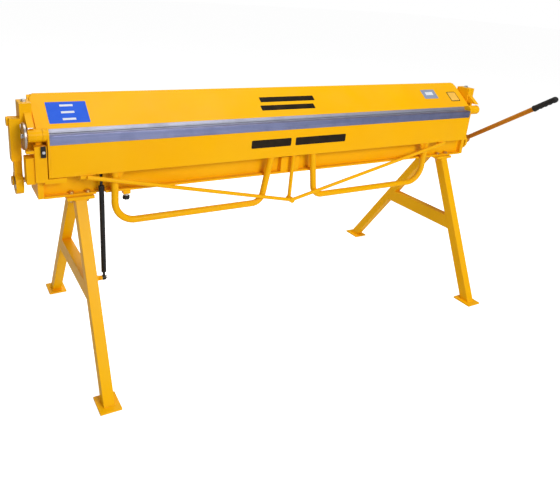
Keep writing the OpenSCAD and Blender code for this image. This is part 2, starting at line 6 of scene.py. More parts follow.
import bmesh
import bpy
from mathutils import Matrix, Vector


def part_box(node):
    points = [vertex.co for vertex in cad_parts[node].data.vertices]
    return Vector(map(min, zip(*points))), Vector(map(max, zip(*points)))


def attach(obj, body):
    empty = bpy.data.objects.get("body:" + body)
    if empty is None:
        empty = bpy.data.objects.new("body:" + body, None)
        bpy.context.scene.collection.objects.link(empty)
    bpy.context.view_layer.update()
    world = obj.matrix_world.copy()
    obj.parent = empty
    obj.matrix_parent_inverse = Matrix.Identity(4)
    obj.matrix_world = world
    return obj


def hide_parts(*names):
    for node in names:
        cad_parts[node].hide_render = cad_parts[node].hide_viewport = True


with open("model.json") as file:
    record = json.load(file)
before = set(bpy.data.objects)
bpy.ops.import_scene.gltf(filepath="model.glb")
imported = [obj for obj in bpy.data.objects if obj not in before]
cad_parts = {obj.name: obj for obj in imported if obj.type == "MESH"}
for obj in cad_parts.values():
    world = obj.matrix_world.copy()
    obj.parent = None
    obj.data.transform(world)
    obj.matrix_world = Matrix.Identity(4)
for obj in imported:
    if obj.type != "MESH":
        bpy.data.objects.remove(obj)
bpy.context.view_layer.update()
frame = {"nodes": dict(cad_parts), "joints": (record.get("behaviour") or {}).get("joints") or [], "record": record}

MM = 0.001
UP = Vector((0, 0, 1))
ACROSS = Vector((1, 0, 0))
BODY_OF = {node: body for body, nodes in frame["record"]["behaviour"]["bodies"].items() for node in nodes}


# ---------------------------------------------------------------- node helpers

def give(tree, socket, value):
    """Joins a socket to another one, or sets its value."""
    if isinstance(value, bpy.types.NodeSocket):
        tree.links.new(value, socket)
    else:
        socket.default_value = value


def add_node(tree, kind, inputs=None, **settings):
    """A node of a tree, with its settings, and its inputs given as values or as sockets to join."""
    made = tree.nodes.new(kind)
    for name, value in settings.items():
        setattr(made, name, value)
    for key, value in (inputs or {}).items():
        give(tree, made.inputs[key], value)
    return made


def math_node(tree, operation, first, second=0.0, clamp=False):
    """The result of one sum on two values."""
    return add_node(tree, "ShaderNodeMath", {0: first, 1: second},
                    operation=operation, use_clamp=clamp).outputs[0]


def ramp(tree, value, low, high, out_low=0.0, out_high=1.0):
    """Maps a value from low..high to out_low..out_high, and clamps it."""
    return add_node(tree, "ShaderNodeMapRange", {
        "Value": value, "From Min": low, "From Max": high,
        "To Min": out_low, "To Max": out_high}).outputs["Result"]


def noise(tree, place, scale, detail=2.0, roughness=0.5):
    """A soft three dimensional noise, from 0 to 1."""
    return add_node(tree, "ShaderNodeTexNoise", {
        "Vector": place, "Scale": scale, "Detail": detail, "Roughness": roughness}).outputs["Fac"]


def mix_colour(tree, amount, first, second):
    """A colour between two colours."""
    made = add_node(tree, "ShaderNodeMix", data_type="RGBA")
    for key, value in ((0, amount), (6, first), (7, second)):
        give(tree, made.inputs[key], value)
    return made.outputs[2]


def new_group(name, inputs, outputs):
    """An empty shader node group with named sockets. Returns the tree, its inputs and its output node."""
    tree = bpy.data.node_groups.new(name, "ShaderNodeTree")
    for label, kind, value in inputs:
        socket = tree.interface.new_socket(label, in_out="INPUT", socket_type=kind)
        socket.default_value = value
    for label, kind in outputs:
        tree.interface.new_socket(label, in_out="OUTPUT", socket_type=kind)
    return tree, tree.nodes.new("NodeGroupInput").outputs, tree.nodes.new("NodeGroupOutput")


def use_group(tree, group, **values):
    """Places a group in a material. Underscores in the names stand for spaces."""
    made = tree.nodes.new("ShaderNodeGroup")
    made.node_tree = group
    for key, value in values.items():
        give(tree, made.inputs[key.replace("_", " ")], value)
    return made.outputs


# ---------------------------------------------------------------- shared surface effects

def edge_wear_group():
    """Finds the outer edges of a piece and breaks the mask up, as rubbing does."""
    tree, given, out = new_group(
        "edge_wear",
        [("Radius", "NodeSocketFloat", 0.002), ("Breakup", "NodeSocketFloat", 60.0),
         ("Amount", "NodeSocketFloat", 0.5)],
        [("Mask", "NodeSocketFloat")])
    place = add_node(tree, "ShaderNodeTexCoord").outputs["Object"]
    rounded = add_node(tree, "ShaderNodeBevel", {"Radius": given["Radius"]}, samples=4).outputs[0]
    plain = add_node(tree, "ShaderNodeNewGeometry").outputs["Normal"]
    same = add_node(tree, "ShaderNodeVectorMath", {0: rounded, 1: plain}, operation="DOT_PRODUCT")
    edge = ramp(tree, same.outputs["Value"], 0.995, 0.85)
    patches = ramp(tree, noise(tree, place, given["Breakup"], 4.0, 0.65), 0.42, 0.62)
    worn = math_node(tree, "MULTIPLY", edge, patches)
    tree.links.new(math_node(tree, "MULTIPLY", worn, given["Amount"], clamp=True), out.inputs["Mask"])
    return tree


def settled_dust_group():
    """Dust and oil haze: cloudy, and thicker on what faces up."""
    tree, given, out = new_group(
        "settled_dust",
        [("Scale", "NodeSocketFloat", 6.0), ("Amount", "NodeSocketFloat", 0.3)],
        [("Mask", "NodeSocketFloat")])
    coord = add_node(tree, "ShaderNodeTexCoord").outputs
    facing = add_node(tree, "ShaderNodeSeparateXYZ", {0: coord["Normal"]}).outputs["Z"]
    up = ramp(tree, facing, -0.2, 1.0, 0.15, 1.0)
    cloud = ramp(tree, noise(tree, coord["Object"], given["Scale"], 5.0, 0.6), 0.35, 0.75)
    both = math_node(tree, "MULTIPLY", up, cloud)
    tree.links.new(math_node(tree, "MULTIPLY", both, given["Amount"], clamp=True), out.inputs["Mask"])
    return tree


def orange_peel_group():
    """The fine ripple of a baked powder coat, as a height."""
    tree, given, out = new_group(
        "orange_peel", [("Scale", "NodeSocketFloat", 320.0)], [("Height", "NodeSocketFloat")])
    place = add_node(tree, "ShaderNodeTexCoord").outputs["Object"]
    ripple = noise(tree, place, given["Scale"], 1.5, 0.45)
    sag = noise(tree, place, math_node(tree, "MULTIPLY", given["Scale"], 0.06), 2.0, 0.5)
    wide = math_node(tree, "MULTIPLY", sag, 1.5)
    tree.links.new(math_node(tree, "ADD", ripple, wide), out.inputs["Height"])
    return tree


def grinding_marks_group():
    """Fine lines left by a grinding wheel or brush, drawn out along one direction."""
    tree, given, out = new_group(
        "grinding_marks",
        [("Stretch", "NodeSocketVector", (2.0, 500.0, 500.0)), ("Scale", "NodeSocketFloat", 1.0)],
        [("Lines", "NodeSocketFloat"), ("Patches", "NodeSocketFloat")])
    place = add_node(tree, "ShaderNodeTexCoord").outputs["Object"]
    drawn = add_node(tree, "ShaderNodeVectorMath", {0: place, 1: given["Stretch"]}, operation="MULTIPLY")
    lines = noise(tree, drawn.outputs[0], given["Scale"], 3.0, 0.7)
    patches = noise(tree, place, 9.0, 4.0, 0.6)
    tree.links.new(lines, out.inputs["Lines"])
    tree.links.new(patches, out.inputs["Patches"])
    return tree


EDGE_WEAR = edge_wear_group()
SETTLED_DUST = settled_dust_group()
ORANGE_PEEL = orange_peel_group()
GRINDING_MARKS = grinding_marks_group()


# ---------------------------------------------------------------- materials

def start_material(name, **constants):
    """A material with a Principled shader. Constants are values that are the same all over."""
    made = bpy.data.materials.new(name)
    made.use_nodes = True
    tree = made.node_tree
    shader = tree.nodes["Principled BSDF"]
    for key, value in constants.items():
        shader.inputs[key.replace("_", " ")].default_value = value
    return made, tree, shader


def feed(tree, shader, colour, roughness, height=None, strength=0.1, distance=0.0002, metallic=None):
    """Joins the finished values to the shader."""
    tree.links.new(colour, shader.inputs["Base Color"])
    tree.links.new(roughness, shader.inputs["Roughness"])
    if metallic is not None:
        tree.links.new(metallic, shader.inputs["Metallic"])
    if height is not None:
        bump = add_node(tree, "ShaderNodeBump", {
            "Strength": strength, "Distance": distance, "Height": height})
        tree.links.new(bump.outputs["Normal"], shader.inputs["Normal"])


def powder_coat(name, main, deep, worn=0.35, dust=0.25):
    """Semi-gloss powder coat with rubbed edges and a little settled dust."""
    made, tree, shader = start_material(name, Coat_Weight=0.04, Coat_Roughness=0.18,
                                        Specular_IOR_Level=0.06)
    place = add_node(tree, "ShaderNodeTexCoord").outputs["Object"]
    tone = ramp(tree, noise(tree, place, 3.0, 3.0, 0.55), 0.3, 0.7)
    colour = mix_colour(tree, tone, main, deep)
    haze = use_group(tree, SETTLED_DUST, Scale=5.0, Amount=dust)["Mask"]
    colour = mix_colour(tree, haze, colour, (0.62, 0.45, 0.2, 1))
    edge = use_group(tree, EDGE_WEAR, Radius=0.0016, Breakup=70.0, Amount=worn)["Mask"]
    colour = mix_colour(tree, edge, colour, (1.0, 0.62, 0.16, 1))
    smear = noise(tree, place, 14.0, 5.0, 0.6)
    rough = ramp(tree, smear, 0.3, 0.75, 0.3, 0.42)
    rough = math_node(tree, "ADD", rough, math_node(tree, "MULTIPLY", haze, 0.5))
    peel = use_group(tree, ORANGE_PEEL, Scale=320.0)["Height"]
    feed(tree, shader, colour, rough, peel, 0.12, 0.0003)
    return made


def worked_steel(name, main, dark, stretch, low=0.24, high=0.45, stain=0.5):
    """Bare steel with grinding lines along one direction and oily, slightly stained patches."""
    made, tree, shader = start_material(name, Metallic=1.0)
    marks = use_group(tree, GRINDING_MARKS, Stretch=stretch, Scale=1.0)
    lines = ramp(tree, marks["Lines"], 0.25, 0.75)
    colour = mix_colour(tree, lines, dark, main)
    patches = ramp(tree, marks["Patches"], 0.45, 0.8, 0.0, stain)
    colour = mix_colour(tree, patches, colour, tuple(0.55 * c for c in dark[:3]) + (1,))
    edge = use_group(tree, EDGE_WEAR, Radius=0.0008, Breakup=90.0, Amount=0.6)["Mask"]
    colour = mix_colour(tree, edge, colour, (0.72, 0.73, 0.75, 1))
    rough = math_node(tree, "ADD", ramp(tree, lines, 0.0, 1.0, low, high),
                      math_node(tree, "MULTIPLY", patches, 0.25))
    feed(tree, shader, colour, rough, marks["Lines"], 0.25, 0.0002)
    return made


def plated(name, main, tint):
    """Zinc or bronze: satin metal with small cloudy colour changes."""
    made, tree, shader = start_material(name, Metallic=1.0)
    place = add_node(tree, "ShaderNodeTexCoord").outputs["Object"]
    cloud = ramp(tree, noise(tree, place, 80.0, 4.0, 0.6), 0.35, 0.7)
    colour = mix_colour(tree, cloud, main, tint)
    edge = use_group(tree, EDGE_WEAR, Radius=0.0005, Breakup=200.0, Amount=0.6)["Mask"]
    colour = mix_colour(tree, edge, colour, (0.8, 0.8, 0.78, 1))
    grain = noise(tree, place, 900.0, 2.0, 0.6)
    feed(tree, shader, colour, ramp(tree, cloud, 0.0, 1.0, 0.28, 0.48), grain, 0.15, 0.0001)
    return made


def moulded_black(name, main, low, high, grain_scale, strength, grey=(0.1, 0.1, 0.1, 1)):
    """Black plastic, rubber or enamel with a moulded or sprayed grain and greyed edges."""
    made, tree, shader = start_material(name, Specular_IOR_Level=0.2)
    place = add_node(tree, "ShaderNodeTexCoord").outputs["Object"]
    haze = use_group(tree, SETTLED_DUST, Scale=22.0, Amount=0.3)["Mask"]
    colour = mix_colour(tree, haze, main, (0.12, 0.11, 0.1, 1))
    edge = use_group(tree, EDGE_WEAR, Radius=0.0007, Breakup=140.0, Amount=0.5)["Mask"]
    colour = mix_colour(tree, edge, colour, grey)
    cells = add_node(tree, "ShaderNodeTexVoronoi", {"Vector": place, "Scale": grain_scale})
    rough = ramp(tree, noise(tree, place, 30.0, 4.0, 0.6), 0.3, 0.7, low, high)
    feed(tree, shader, colour, rough, cells.outputs["Distance"], strength, 0.0003)
    return made


def printed_film(name, main, soft):
    """A printed vinyl label: satin, a little uneven, slightly faded in places."""
    made, tree, shader = start_material(name, Specular_IOR_Level=0.12)
    place = add_node(tree, "ShaderNodeTexCoord").outputs["Object"]
    fade = ramp(tree, noise(tree, place, 18.0, 4.0, 0.6), 0.35, 0.8)
    colour = mix_colour(tree, fade, main, soft)
    rough = ramp(tree, noise(tree, place, 60.0, 3.0, 0.5), 0.3, 0.7, 0.28, 0.45)
    feed(tree, shader, colour, rough, noise(tree, place, 500.0, 2.0, 0.5), 0.06, 0.0002)
    return made


YELLOW = (0.99, 0.51, 0.0005, 1)
YELLOW_DEEP = (0.97, 0.465, 0.0005, 1)
PAINT = powder_coat("powder_coat_yellow", YELLOW, YELLOW_DEEP, dust=0.1)
# A darker, browner copy of the frame's powder coat for the lever, with more rubbed edges and more dust.
LEVER_DARKER_COAT = powder_coat("powder_coat_darker_copy", (0.62, 0.22, 0.008, 1), (0.52, 0.17, 0.006, 1),
                          worn=0.8, dust=0.4)
BLADE_STEEL = worked_steel("ground_blade_steel", (0.56, 0.57, 0.66, 1), (0.4, 0.41, 0.5, 1),
                           (3.0, 420.0, 420.0), low=0.48, high=0.62)
RAIL_STEEL = worked_steel("blued_rail_steel", (0.34, 0.37, 0.6, 1), (0.2, 0.23, 0.42, 1),
                          (2.0, 360.0, 360.0), low=0.3, high=0.5)
TURNED_STEEL = worked_steel("turned_steel", (0.6, 0.52, 0.46, 1), (0.4, 0.34, 0.3, 1),
                            (700.0, 60.0, 60.0), stain=0.3)
CHROME = worked_steel("hard_chrome", (0.8, 0.8, 0.82, 1), (0.68, 0.68, 0.7, 1),
                      (200.0, 200.0, 6.0), low=0.08, high=0.16, stain=0.15)
BLACK_ROD = worked_steel("black_nitrided_steel", (0.05, 0.05, 0.055, 1), (0.025, 0.025, 0.03, 1),
                         (200.0, 200.0, 6.0), low=0.12, high=0.22, stain=0.2)
ZINC = plated("bright_zinc", (0.68, 0.69, 0.72, 1), (0.55, 0.56, 0.55, 1))
YELLOW_ZINC = plated("yellow_passivated_zinc", (0.78, 0.5, 0.16, 1), (0.66, 0.42, 0.14, 1))
BRONZE = plated("bearing_bronze", (0.62, 0.42, 0.2, 1), (0.48, 0.3, 0.12, 1))
RUBBER = moulded_black("black_rubber", (0.016, 0.016, 0.017, 1), 0.55, 0.75, 700.0, 0.3)
PLASTIC = moulded_black("black_moulded_plastic", (0.018, 0.018, 0.019, 1), 0.35, 0.5, 1400.0, 0.15)
ENAMEL = moulded_black("black_enamel", (0.012, 0.012, 0.013, 1), 0.2, 0.32, 500.0, 0.05)
BLUE_FILM = printed_film("blue_label_film", (0.008, 0.1, 0.72, 1), (0.014, 0.12, 0.76, 1))
WHITE_FILM = printed_film("white_label_film", (0.8, 0.82, 0.85, 1), (0.7, 0.73, 0.78, 1))
BLACK_FILM = printed_film("black_marking_film", (0.012, 0.008, 0.004, 1), (0.03, 0.02, 0.01, 1))
GREY_FILM = printed_film("grey_data_film", (0.3, 0.35, 0.47, 1), (0.25, 0.3, 0.42, 1))
PALE_YELLOW_FILM = printed_film("pale_yellow_film", (0.95, 0.56, 0.1, 1), (0.88, 0.5, 0.08, 1))
FINISH = {"paint": PAINT, "steel": BLADE_STEEL, "zinc": ZINC, "bronze": BRONZE, "rubber": RUBBER,
          "black_plastic": PLASTIC, "black_paint": ENAMEL}
SPECIAL_FINISH = {"guide_rods": CHROME, "angle_disc": TURNED_STEEL, "cross_shaft": TURNED_STEEL,
                  "eccentrics": TURNED_STEEL, "strut_rod": BLACK_ROD, "leaf_rail": RAIL_STEEL,
                  "stand_bolts": YELLOW_ZINC, "clamp_lever": LEVER_DARKER_COAT}


# ---------------------------------------------------------------- mesh helpers

def slot_of(node):
    """The record's material slot of a CAD node."""
    return frame["nodes"][node].data.materials[0].name.split(".")[0]


def finish_piece(form, name, body, material, smooth_angle=40, stands_for=()):
    """Turns a bmesh into a finished piece that rides on a body."""
    mesh = bpy.data.meshes.new(name)
    form.to_mesh(mesh)
    form.free()
    return finish_mesh(mesh, name, body, material, smooth_angle, stands_for)


def finish_mesh(mesh, name, body, material, smooth_angle=40, stands_for=()):
    """Turns a mesh into a finished piece that rides on a body."""
    if material is not None:
        mesh.materials.clear()
        mesh.materials.append(material)
    mesh.shade_smooth()
    mesh.set_sharp_from_angle(angle=math.radians(smooth_angle))
    piece = bpy.data.objects.new(name, mesh)
    bpy.context.scene.collection.objects.link(piece)
    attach(piece, body)
    if stands_for:
        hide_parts(*stands_for)
    return piece


SAME_POINT = 0.01 * MM
SAME_PLANE = math.radians(0.3)
SHARP_EDGE = math.radians(32)


def welded_copy(node):
    """A bmesh of a CAD node with its loose triangles joined and its flat faces made whole."""
    form = bmesh.new()
    form.from_mesh(frame["nodes"][node].data)
    bmesh.ops.remove_doubles(form, verts=form.verts, dist=SAME_POINT)
    bmesh.ops.dissolve_limit(form, angle_limit=SAME_PLANE, verts=form.verts, edges=form.edges)
    return form


def break_edges(node, width):
    """A copy of a CAD node with its sharp edges broken, as a deburred and coated piece has."""
    form = welded_copy(node)
    sharp = [e for e in form.edges if e.is_manifold and e.calc_face_angle(0) > SHARP_EDGE]
    bmesh.ops.bevel(form, geom=sharp, offset=width * MM, offset_type="OFFSET", segments=2,
                    profile=0.5, affect="EDGES", clamp_overlap=False, loop_slide=True)
    material = SPECIAL_FINISH.get(node) or FINISH[slot_of(node)]
    piece = finish_piece(form, node + "_finished", BODY_OF[node], material,
                         50, [node])
    even = piece.modifiers.new("even_shading", "WEIGHTED_NORMAL")
    even.keep_sharp = True
    return piece


# ---------------------------------------------------------------- scene

LENS_MM = 35.955
LENS_SHIFT = (0.0841071, -0.1139286)
EYE = (-1.3823, -2.0001, 1.4169)
HEADING = (29.51, 19.87, -4.08)
LIT_POINT = (0, 0, 0.6)
# Name, place, width and power
LAMPS = (("key", (0.6, -4.6, 3.0), 2.4, 145), ("fill", (-3.4, -2.4, 2.0), 2.0, 12),
         ("top", (0.0, 0.4, 4.2), 3.0, 66), ("back", (0.5, 3.4, 2.4), 2.4, 30))
FLOOR_HALF_SIZE = 40
FLOOR_DROP = 0.5 * MM


def aim(yaw, pitch, roll):
    """A camera's rotation matrix from its heading, its tilt down and its roll, in degrees."""
    yaw, pitch, roll = (math.radians(v) for v in (yaw, pitch, roll))
    ahead = Vector((math.sin(yaw) * math.cos(pitch), math.cos(yaw) * math.cos(pitch), -math.sin(pitch)))
    right = Vector((math.cos(yaw), -math.sin(yaw), 0))
    down = ahead.cross(right)
    turned_right = math.cos(roll) * right + math.sin(roll) * down
    turned_down = -math.sin(roll) * right + math.cos(roll) * down
    return Matrix((turned_right, -turned_down, -ahead)).transposed()


def make_camera():
    """The camera stands at eye height in front of the left half of the machine."""
    data = bpy.data.cameras.new("camera")
    data.lens = LENS_MM
    data.shift_x, data.shift_y = LENS_SHIFT
    camera = bpy.data.objects.new("camera", data)
    camera.matrix_world = Matrix.Translation(EYE) @ aim(*HEADING).to_4x4()
    bpy.context.scene.collection.objects.link(camera)
    bpy.context.scene.camera = camera


def soft_light(name, place, size, power):
    """A large soft lamp that looks at the machine."""
    data = bpy.data.lights.new(name, "AREA")
    data.shape = "DISK"
    data.size = size
    data.energy = power
    lamp = bpy.data.objects.new(name, data)
    lamp.location = place
    lamp.rotation_euler = (Vector(LIT_POINT) - Vector(place)).to_track_quat("-Z", "Y").to_euler()
    bpy.context.scene.collection.objects.link(lamp)


def make_studio():
    """A pale floor, a white surround and soft lamps."""
    scene = bpy.context.scene
    scene.view_settings.view_transform = "Standard"
    world = bpy.data.worlds.new("studio")
    world.use_nodes = True
    tree = world.node_tree
    surround = tree.nodes["Background"]
    surround.inputs["Color"].default_value = (1, 1, 1, 1)
    seen = add_node(tree, "ShaderNodeLightPath").outputs["Is Camera Ray"]
    tree.links.new(ramp(tree, seen, 0.0, 1.0, 0.2, 1.0), surround.inputs["Strength"])
    scene.world = world
    for lamp in LAMPS:
        soft_light(*lamp)
    form = bmesh.new()
    bmesh.ops.create_grid(form, x_segments=1, y_segments=1, size=FLOOR_HALF_SIZE)
    mesh = bpy.data.meshes.new("floor")
    form.to_mesh(mesh)
    form.free()
    floor = bpy.data.objects.new("floor", mesh)
    scene.collection.objects.link(floor)
    mesh.materials.append(floor_material())
    floor.location.z = -FLOOR_DROP


def floor_material():
    """Pale, even studio floor, lit up for the camera only so that it fades into the surround."""
    made, tree, shader = start_material("studio_floor")
    place = add_node(tree, "ShaderNodeTexCoord").outputs["Object"]
    tone = ramp(tree, noise(tree, place, 1.5, 2.0, 0.5), 0.3, 0.7)
    colour = mix_colour(tree, tone, (0.92, 0.92, 0.92, 1), (0.9, 0.9, 0.9, 1))
    feed(tree, shader, colour, ramp(tree, tone, 0.0, 1.0, 0.75, 0.85))
    seen = add_node(tree, "ShaderNodeLightPath").outputs["Is Camera Ray"]
    shader.inputs["Emission Color"].default_value = (1, 1, 1, 1)
    tree.links.new(math_node(tree, "MULTIPLY", seen, 0.8), shader.inputs["Emission Strength"])
    return made


# ---------------------------------------------------------------- shaped pieces

def skin(form, rings):
    """Faces between rings of the same number of points, and over both ends."""
    sides = len(rings[0])
    for low, high in zip(rings, rings[1:]):
        for i in range(sides):
            form.faces.new((low[i], low[(i + 1) % sides], high[(i + 1) % sides], high[i]))
    form.faces.new(list(reversed(rings[0])))
    form.faces.new(rings[-1])


def circle_angles(count):
    """Evenly spaced angles round a circle."""
    return [2 * math.pi * k / count for k in range(count)]


def turned_form(profile, start, direction, sides=48):
    """A bmesh of a solid of revolution. profile is pairs of distance along the axis and radius."""
    form = bmesh.new()
    turn = Vector(direction).to_track_quat("Z", "X").to_matrix()
    rings = []
    for along, radius in profile:
        places = (Vector((radius * math.cos(a), radius * math.sin(a), along)) for a in circle_angles(sides))
        rings.append([form.verts.new(Vector(start) + turn @ place) for place in places])
    skin(form, rings)
    return form


def swept_form(path, radius, sides=32):
    """A bmesh of a round bar along a path of points that lies in one upright plane."""
    form = bmesh.new()
    side = Vector((0, 1, 0))
    rings = []
    for i, point in enumerate(path):
        ahead = (path[min(i + 1, len(path) - 1)] - path[max(i - 1, 0)]).normalized()
        out = ahead.cross(side).normalized()
        rings.append([form.verts.new(point + radius * (math.cos(a) * side + math.sin(a) * out))
                      for a in circle_angles(sides)])
    skin(form, rings)
    bmesh.ops.recalc_face_normals(form, faces=form.faces)
    return form


def arc_points(centre, bend, first, last, steps=16):
    """Points of an arc in the XZ plane, in degrees from +X towards +Z."""
    turns = (math.radians(first + (last - first) * k / steps) for k in range(steps + 1))
    return [centre + Vector((bend * math.cos(a), 0, bend * math.sin(a))) for a in turns]


BOW_LEAN = math.radians(9)
BOW_WIDE_BEND = 80 * MM
BOW_TIGHT_BEND = 50 * MM
LEANING_LEG_SLACK = 0.15 * MM


def bow_handle(node, mirrored):
    """A lifting bow: a bent tube with a wide bend on its outer leg and a tight one on the leaning leg."""
    low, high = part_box(node)
    flip = -1 if mirrored else 1
    radius = (high.y - low.y) / 2
    half = (high.x - low.x) / 2
    y = (low.y + high.y) / 2
    z, top = low.z + radius, high.z
    lean, wide, tight = BOW_LEAN, BOW_WIDE_BEND, BOW_TIGHT_BEND
    outer = -half + radius
    inner = half - (radius - LEANING_LEG_SLACK) / math.cos(lean)
    end_z = z + tight - tight * math.sin(lean)
    end_x = inner - (top - end_z) * math.tan(lean)
    tight_x = end_x - tight * math.cos(lean)
    path = [Vector((outer, 0, top)), Vector((outer, 0, (top + z + wide) / 2))]
    path += arc_points(Vector((outer + wide, 0, z + wide)), wide, 180, 270)
    path += [Vector((x * MM, 0, z)) for x in (-120, 0, 120)]
    path += arc_points(Vector((tight_x, 0, z + tight)), tight, -90, -math.degrees(lean))
    path += [Vector((inner, 0, top))]
    middle = (low.x + high.x) / 2
    form = swept_form([Vector((middle + flip * q.x, y, q.z)) for q in path], radius)
    finish_piece(form, node + "_tube", BODY_OF[node], PAINT, 50, [node])


def joint_named(name):
    """The frame's row for one joint."""
    return next(j for j in frame["joints"] if j["name"] == name)


LEVER_JOINT = joint_named("lever_turn")
LEVER_TILT = math.radians(34.5)
LEVER_AXIS = Vector((0, -math.cos(LEVER_TILT), math.sin(LEVER_TILT)))


GRIP_HOLLOWS = 4
GRIP_HOLLOW_DEPTH = 0.16
GRIP_HOLLOWS_FROM = 0.1
GRIP_HOLLOWS_TO = 0.85
GRIP_COLLAR = 8 * MM
GRIP_WAIST = 0.93


def moulded_grip():
    """The lever's rubber grip, with a collar, finger hollows underneath and a round end."""
    points = [v.co.copy() for v in frame["nodes"]["lever_grip"].data.vertices]
    low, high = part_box("lever_grip")
    start = Vector(((low.x + high.x) / 2, LEVER_JOINT["pos_m"][1], LEVER_JOINT["pos_m"][2]))
    along = [(q - start).dot(LEVER_AXIS) for q in points]
    first, last = min(along), max(along)
    radius = (high.x - low.x) / 2
    down = LEVER_AXIS.cross(ACROSS).normalized()
    down = down if down.z < 0 else -down
    form = bmesh.new()
    rings = []
    steps, sides = 90, 40
    for k in range(steps + 1):
        t = k / steps
        span = (last - first) * t
        left = (last - first) - span
        shape = math.sqrt(max(0.0, 1 - max(0.0, 1 - left / radius) ** 2))
        collar = 1.0 if span < GRIP_COLLAR else GRIP_WAIST
        waves = 0
        if GRIP_HOLLOWS_FROM < t < GRIP_HOLLOWS_TO:
            turns = GRIP_HOLLOWS * (t - GRIP_HOLLOWS_FROM) / (GRIP_HOLLOWS_TO - GRIP_HOLLOWS_FROM)
            waves = GRIP_HOLLOW_DEPTH * (0.5 - 0.5 * math.cos(2 * math.pi * turns))
        ring = []
        for a in circle_angles(sides):
            hollow = waves * max(0.0, math.cos(a)) ** 1.5
            reach = radius * max(0.02, shape) * (collar - hollow)
            ring.append(form.verts.new(start + LEVER_AXIS * (first + span)
                                       + reach * (math.cos(a) * down + math.sin(a) * ACROSS)))
        rings.append(ring)
    skin(form, rings)
    bmesh.ops.recalc_face_normals(form, faces=form.faces)
    finish_piece(form, "lever_grip_moulded", "clamp_lever", RUBBER, 60, ["lever_grip"])


KNOB_LOBES = 6
KNOB_LOBE_DEPTH = 0.1
# Height above the knob's base in millimetres, and share of its radius
KNOB_PROFILE = ((0.0, 0.78), (0.6, 0.9), (2.0, 0.98), (5.0, 1.0), (11.0, 1.0), (13.5, 0.96),
                (15.0, 0.86), (16.0, 0.62))
# The steel part over the knob: a collar, then a threaded stud
COLLAR_PROFILE = ((15.5, 8.4), (16.2, 9), (23, 9), (23.5, 8.5))
THREAD_START = 23 * MM
THREAD_PITCH = 1.25 * MM
THREAD_CREST = 5 * MM
THREAD_ROOT = 4.2 * MM


def star_knob():
    """The small hand knob: a lobed plastic head under a steel stud."""
    low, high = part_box("adjust_knob")
    middle = (low + high) / 2
    radius = (high.x - low.x) / 2
    form = bmesh.new()
    rings = []
    for height, share in KNOB_PROFILE:
        ring = []
        for a in circle_angles(72):
            lobes = 1 - KNOB_LOBE_DEPTH + KNOB_LOBE_DEPTH * math.cos(KNOB_LOBES * a)
            reach = radius * share * lobes
            ring.append(form.verts.new((middle.x + reach * math.cos(a), middle.y + reach * math.sin(a),
                                        low.z + height * MM)))
        rings.append(ring)
    skin(form, rings)
    finish_piece(form, "knob_head", "knob", PLASTIC, 45, ["adjust_knob"])
    top = high.z - low.z
    profile = [(along * MM, radius * MM) for along, radius in COLLAR_PROFILE]
    turned = turned_form(profile, (middle.x, middle.y, low.z), UP, 32)
    finish_piece(turned, "knob_collar", "knob", ZINC, 35)
    profile = [(THREAD_START, THREAD_CREST)]
    for k in range(int((top - THREAD_START - 1 * MM) / THREAD_PITCH)):
        z = THREAD_START + 0.6 * MM + k * THREAD_PITCH
        profile += [(z, THREAD_ROOT), (z + 0.6 * MM, THREAD_CREST)]
    turned = turned_form(profile + [(top, THREAD_ROOT)], (middle.x, middle.y, low.z), UP, 24)
    finish_piece(turned, "knob_stud", "knob", ZINC, 20)


# ---------------------------------------------------------------- labels and markings

def rounded_outline(width, height, corner, steps=5):
    """A rectangle with round corners, about its middle, going round to the left."""
    points = []
    for cx, cy, first in ((1, 1, 0), (-1, 1, 90), (-1, -1, 180), (1, -1, 270)):
        for k in range(steps + 1):
            a = math.radians(first + 90 * k / steps)
            points.append((cx * (width / 2 - corner) + corner * math.cos(a),
                           cy * (height / 2 - corner) + corner * math.sin(a)))
    return points


FILM_LIFT = 0.05 * MM
FILM_THICK = 0.3 * MM
FILM_STEP = 0.35 * MM


def thin_film(name, outline, middle, along, upward, body, material, lift=FILM_LIFT):
    """A thin label on a flat face. along and upward are unit directions on the face."""
    out = along.cross(upward).normalized()
    form = bmesh.new()
    base = [form.verts.new(middle + x * along + y * upward + lift * out) for x, y in outline]
    face = form.faces.new(base)
    raised = bmesh.ops.extrude_face_region(form, geom=[face])
    bmesh.ops.translate(form, vec=FILM_THICK * out,
                        verts=[g for g in raised["geom"] if isinstance(g, bmesh.types.BMVert)])
    bmesh.ops.recalc_face_normals(form, faces=form.faces)
    finish_piece(form, name, body, material, 30)


def panel_frame():
    """Lower edge and upper edge points, and the upward direction, of the sloping panel's face."""
    points = [v.co for v in frame["nodes"]["clamp_panel"].data.vertices]
    low = min(points, key=lambda q: (round(q.y, 5), -q.z))
    high = max(points, key=lambda q: (round(q.z, 5), -q.y))
    low, high = Vector((0, low.y, low.z)), Vector((0, high.y, high.z))
    return low, high, (high - low).normalized()


def panel_film(name, x, share, width, height, material, layer=0, corner=1.0):
    """A label on the sloping panel. x is its middle in millimetres, share how far up the panel it is."""
    low, high, upward = panel_frame()
    middle = low.lerp(high, share) + Vector((x * MM, 0, 0))
    outline = rounded_outline(width * MM, height * MM, corner * MM)
    thin_film(name, outline, middle, ACROSS, upward, "clamp_beam", material,
              lift=FILM_LIFT + FILM_STEP * layer)


